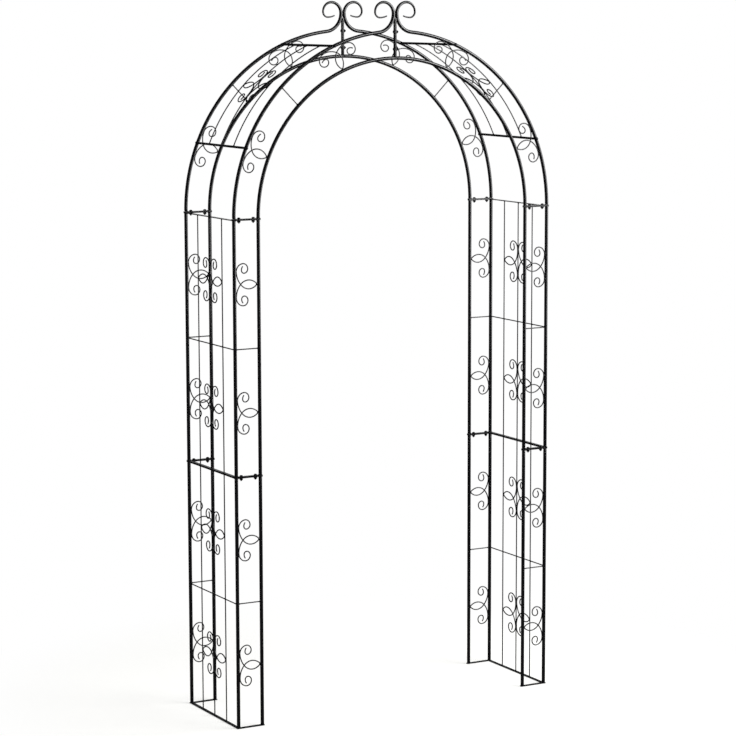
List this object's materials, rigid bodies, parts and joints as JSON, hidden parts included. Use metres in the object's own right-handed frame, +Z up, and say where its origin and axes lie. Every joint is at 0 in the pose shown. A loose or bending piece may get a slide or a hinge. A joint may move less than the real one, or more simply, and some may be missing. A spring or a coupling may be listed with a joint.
{
  "type": "garden arch",
  "caption": "Free-standing round-topped garden arch of black powder-coated steel, with trellised legs, scrollwork in every bay and paired scroll finials, bolted together in sections.",
  "frame": {"origin": "on the ground, midway between the legs and midway between the front and the rear frames", "axes": "+Z up, X across the passage from the left leg to the right leg, -Y towards the front"},
  "size_m": [1.214, 0.389, 2.398],
  "materials": {
    "powder_coated_steel": "satin black powder coat",
    "fastener_steel": "black finished steel"
  },
  "bodies": {
    "root": {"left_lower_front_frame": "powder_coated_steel", "left_lower_rear_frame": "powder_coated_steel", "left_lower_side_trellis": "powder_coated_steel", "left_upper_front_frame": "powder_coated_steel", "left_upper_rear_frame": "powder_coated_steel", "left_upper_side_trellis": "powder_coated_steel", "left_arch_front_frame": "powder_coated_steel", "left_arch_rear_frame": "powder_coated_steel", "left_arch_roof_trellis": "powder_coated_steel", "right_lower_front_frame": "powder_coated_steel", "right_lower_rear_frame": "powder_coated_steel", "right_lower_side_trellis": "powder_coated_steel", "right_upper_front_frame": "powder_coated_steel", "right_upper_rear_frame": "powder_coated_steel", "right_upper_side_trellis": "powder_coated_steel", "right_arch_front_frame": "powder_coated_steel", "right_arch_rear_frame": "powder_coated_steel", "right_arch_roof_trellis": "powder_coated_steel", "left_mid_front_outer_bolt": "fastener_steel", "left_mid_front_outer_nut": "fastener_steel", "left_mid_front_inner_bolt": "fastener_steel", "left_mid_front_inner_nut": "fastener_steel", "left_mid_rear_outer_bolt": "fastener_steel", "left_mid_rear_outer_nut": "fastener_steel", "left_mid_rear_inner_bolt": "fastener_steel", "left_mid_rear_inner_nut": "fastener_steel", "left_top_front_outer_bolt": "fastener_steel", "left_top_front_outer_nut": "fastener_steel", "left_top_front_inner_bolt": "fastener_steel", "left_top_front_inner_nut": "fastener_steel", "left_top_rear_outer_bolt": "fastener_steel", "left_top_rear_outer_nut": "fastener_steel", "left_top_rear_inner_bolt": "fastener_steel", "left_top_rear_inner_nut": "fastener_steel", "right_mid_front_outer_bolt": "fastener_steel", "right_mid_front_outer_nut": "fastener_steel", "right_mid_front_inner_bolt": "fastener_steel", "right_mid_front_inner_nut": "fastener_steel", "right_mid_rear_outer_bolt": "fastener_steel", "right_mid_rear_outer_nut": "fastener_steel", "right_mid_rear_inner_bolt": "fastener_steel", "right_mid_rear_inner_nut": "fastener_steel", "right_top_front_outer_bolt": "fastener_steel", "right_top_front_outer_nut": "fastener_steel", "right_top_front_inner_bolt": "fastener_steel", "right_top_front_inner_nut": "fastener_steel", "right_top_rear_outer_bolt": "fastener_steel", "right_top_rear_outer_nut": "fastener_steel", "right_top_rear_inner_bolt": "fastener_steel", "right_top_rear_inner_nut": "fastener_steel", "crown_front_lower_bolt": "fastener_steel", "crown_front_lower_nut": "fastener_steel", "crown_front_upper_bolt": "fastener_steel", "crown_front_upper_nut": "fastener_steel", "crown_rear_lower_bolt": "fastener_steel", "crown_rear_lower_nut": "fastener_steel", "crown_rear_upper_bolt": "fastener_steel", "crown_rear_upper_nut": "fastener_steel"}
  },
  "joints": []
}
